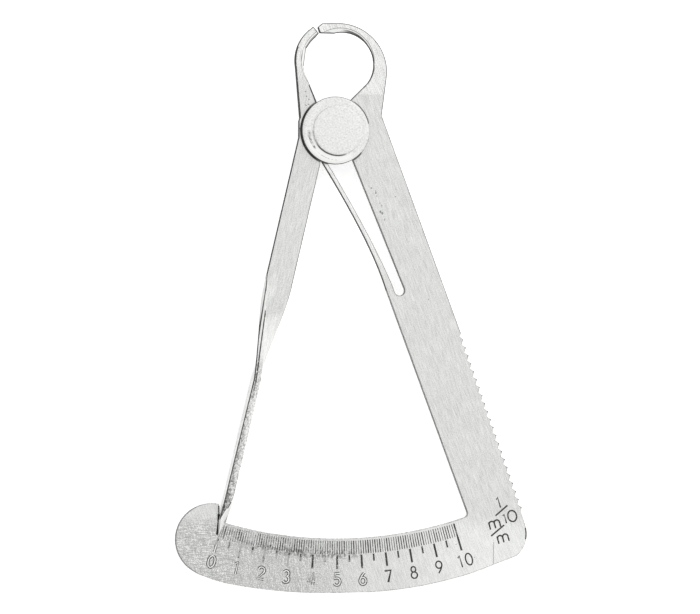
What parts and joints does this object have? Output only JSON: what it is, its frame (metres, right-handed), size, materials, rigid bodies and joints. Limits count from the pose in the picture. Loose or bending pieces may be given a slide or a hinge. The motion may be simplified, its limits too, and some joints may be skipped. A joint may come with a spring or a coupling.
{
  "type": "wax caliper",
  "caption": "Spring-closed wax caliper: two levers on a riveted pivot, curved measuring jaws, a twisted knife-edge pointer and an arc scale reading tenths of a millimetre.",
  "frame": {"origin": "centre of the rivet's flat rear face, on the pivot axis", "axes": "+Z along the pivot axis, out of the face that carries the scale; +Y from the pivot towards the jaws; +X to the right, towards the frame's limb"},
  "size_m": [0.0626, 0.1011, 0.005],
  "materials": {
    "brushed_sheet": "brushed along the strip, with small pits and rubbed edges",
    "turned_steel": "fine turned rings, half bright"
  },
  "bodies": {
    "frame": {"scale_frame": "brushed_sheet", "pivot_rivet": "turned_steel", "front_washer": "turned_steel", "rear_washer": "turned_steel"},
    "pointer": {"pointer_arm": "brushed_sheet"},
    "spring": {"return_spring": "brushed_sheet"}
  },
  "joints": [
    {"name": "pointer_pivot", "type": "hinge", "parent": "frame", "child": "pointer", "pos_m": [0, 0, 0.00166], "axis": [0, 0, 1], "range_deg": [0, 33.2], "stiffness_Nm_per_rad": 0.02, "springref_deg": -14.32},
    {"name": "spring_flex", "type": "hinge", "parent": "frame", "child": "spring", "pos_m": [0.00932, -0.0279, 0.00166], "axis": [0, 0, 1], "range_deg": [-7.7, 0]}
  ],
  "couplings": [
    {"joint": "spring_flex", "follows": "pointer_pivot", "ratio": -0.23}
  ]
}
